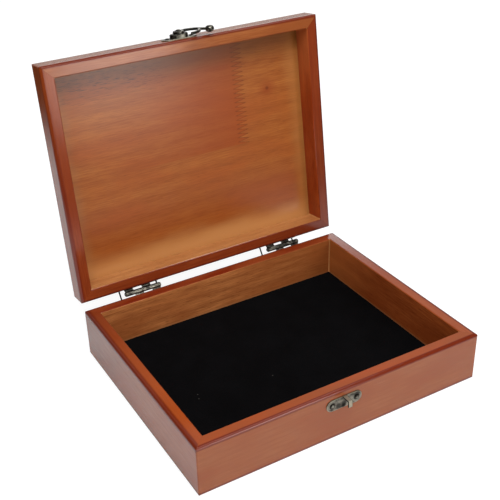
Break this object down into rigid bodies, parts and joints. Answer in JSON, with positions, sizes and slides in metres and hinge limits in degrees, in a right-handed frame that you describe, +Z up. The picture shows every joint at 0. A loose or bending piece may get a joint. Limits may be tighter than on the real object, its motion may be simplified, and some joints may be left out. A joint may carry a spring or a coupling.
{
  "type": "keepsake box",
  "caption": "Low hinged wooden box with a felt floor, a shallow framed lid on stayed barrel hinges and a swing-hook latch at the front.",
  "frame": {"origin": "centre of the box's flat underside", "axes": "+Z up out of the open box; +Y from the latched front to the hinged back; +X along the length, to the right as seen from the front"},
  "size_m": [0.24, 0.2489, 0.2404],
  "materials": {
    "stained_wood": "satin",
    "felt": "matte",
    "card": "matte",
    "antique_brass": "satin",
    "wire": "satin"
  },
  "bodies": {
    "box": {"box_front_wall": "stained_wood", "box_back_wall": "stained_wood", "box_left_wall": "stained_wood", "box_right_wall": "stained_wood", "bottom_board": "stained_wood", "lining_card": "card", "felt_lining": "felt", "left_hinge_box_leaf": "antique_brass", "right_hinge_box_leaf": "antique_brass", "left_hinge_pin": "antique_brass", "right_hinge_pin": "antique_brass", "box_hinge_nails": "antique_brass", "catch_plate": "antique_brass", "catch_plate_nails": "antique_brass"},
    "lid": {"lid_front_wall": "stained_wood", "lid_back_wall": "stained_wood", "lid_left_wall": "stained_wood", "lid_right_wall": "stained_wood", "lid_panel": "stained_wood", "left_hinge_lid_leaf": "antique_brass", "right_hinge_lid_leaf": "antique_brass", "lid_hinge_nails": "antique_brass", "latch_plate": "antique_brass", "latch_plate_nails": "antique_brass", "latch_rivet": "antique_brass"},
    "latch_arm": {"latch_arm": "antique_brass"},
    "left_stay": {"left_stay_wire": "wire"},
    "right_stay": {"right_stay_wire": "wire"}
  },
  "joints": [
    {"name": "lid_hinge", "type": "hinge", "parent": "box", "child": "lid", "pos_m": [0, 0.09835, 0.04115], "axis": [1, 0, 0], "range_deg": [0, 98.1]},
    {"name": "latch_swing", "type": "hinge", "parent": "lid", "child": "latch_arm", "pos_m": [-0.0035, 0.13386, 0.23139], "axis": [0, 0.1409, 0.99], "range_deg": [-75, 180]},
    {"name": "left_stay_pivot", "type": "hinge", "parent": "lid", "child": "left_stay", "pos_m": [-0.0673, 0.11127, 0.04108], "axis": [1, 0, 0], "range_deg": [-62.83, 0]},
    {"name": "right_stay_pivot", "type": "hinge", "parent": "lid", "child": "right_stay", "pos_m": [0.0683, 0.11127, 0.04108], "axis": [1, 0, 0], "range_deg": [-62.83, 0]}
  ],
  "couplings": [
    {"joint": "left_stay_pivot", "follows": "lid_hinge", "ratio": -0.64041},
    {"joint": "right_stay_pivot", "follows": "lid_hinge", "ratio": -0.64041}
  ]
}
